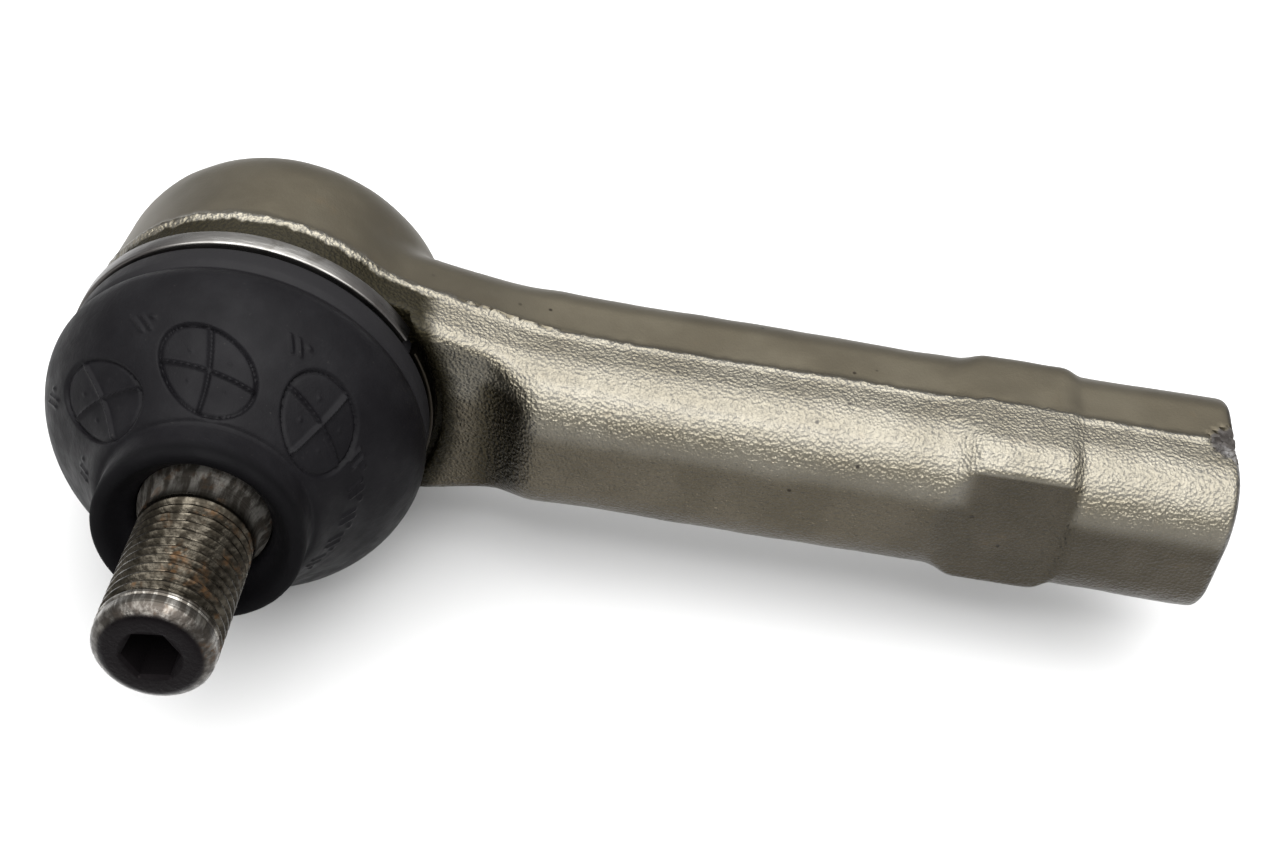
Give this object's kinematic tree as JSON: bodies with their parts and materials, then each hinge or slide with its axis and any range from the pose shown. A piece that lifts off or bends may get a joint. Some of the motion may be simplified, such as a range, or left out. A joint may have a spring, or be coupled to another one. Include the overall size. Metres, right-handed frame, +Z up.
{
  "type": "tie rod end",
  "caption": "Outer tie rod end: a sealed ball joint with a threaded taper stud, a rubber dust boot and a forged shank with a threaded socket for the tie rod.",
  "frame": {"origin": "centre of the ball, which is where every axis of the joint meets", "axes": "+X along the shank towards its threaded end, -Y along the housing's axis towards the stud, +Z up as the part lies on its side"},
  "size_m": [0.1289, 0.0661, 0.0418],
  "materials": {
    "forging": "shot-blasted forging with dull olive-grey plating",
    "plate": "pressed plate, satin",
    "spring_steel": "oiled spring steel",
    "bearing_plastic": "natural acetal, matte",
    "stud_steel": "turned bare steel with slight rust tint",
    "rubber": "moulded black rubber, satin",
    "clip_steel": "rolled spring band, satin",
    "ring_steel": "plain steel"
  },
  "bodies": {
    "housing": {"housing": "forging", "cover_plate": "plate", "preload_spring": "spring_steel", "lower_race": "bearing_plastic", "upper_race": "bearing_plastic", "boot_clip": "clip_steel"},
    "boot": {"boot": "rubber"},
    "boot_lip": {"lip_ring": "ring_steel"},
    "stud": {"ball_stud": "stud_steel"}
  },
  "joints": [
    {"name": "swing_turn", "type": "hinge", "parent": "housing", "child": "boot", "pos_m": [0, 0, 0], "axis": [0, -1, 0], "continuous": true},
    {"name": "swing_tilt", "type": "hinge", "parent": "boot", "child": "boot_lip", "pos_m": [0, 0, 0], "axis": [0.9219, 0, -0.3875], "range_deg": [-17.8, 32.2], "deforming": ["boot"]},
    {"name": "stud_spin", "type": "hinge", "parent": "boot_lip", "child": "stud", "pos_m": [0, 0, 0], "axis": [0.0486, -0.9921, 0.1155], "continuous": true}
  ]
}
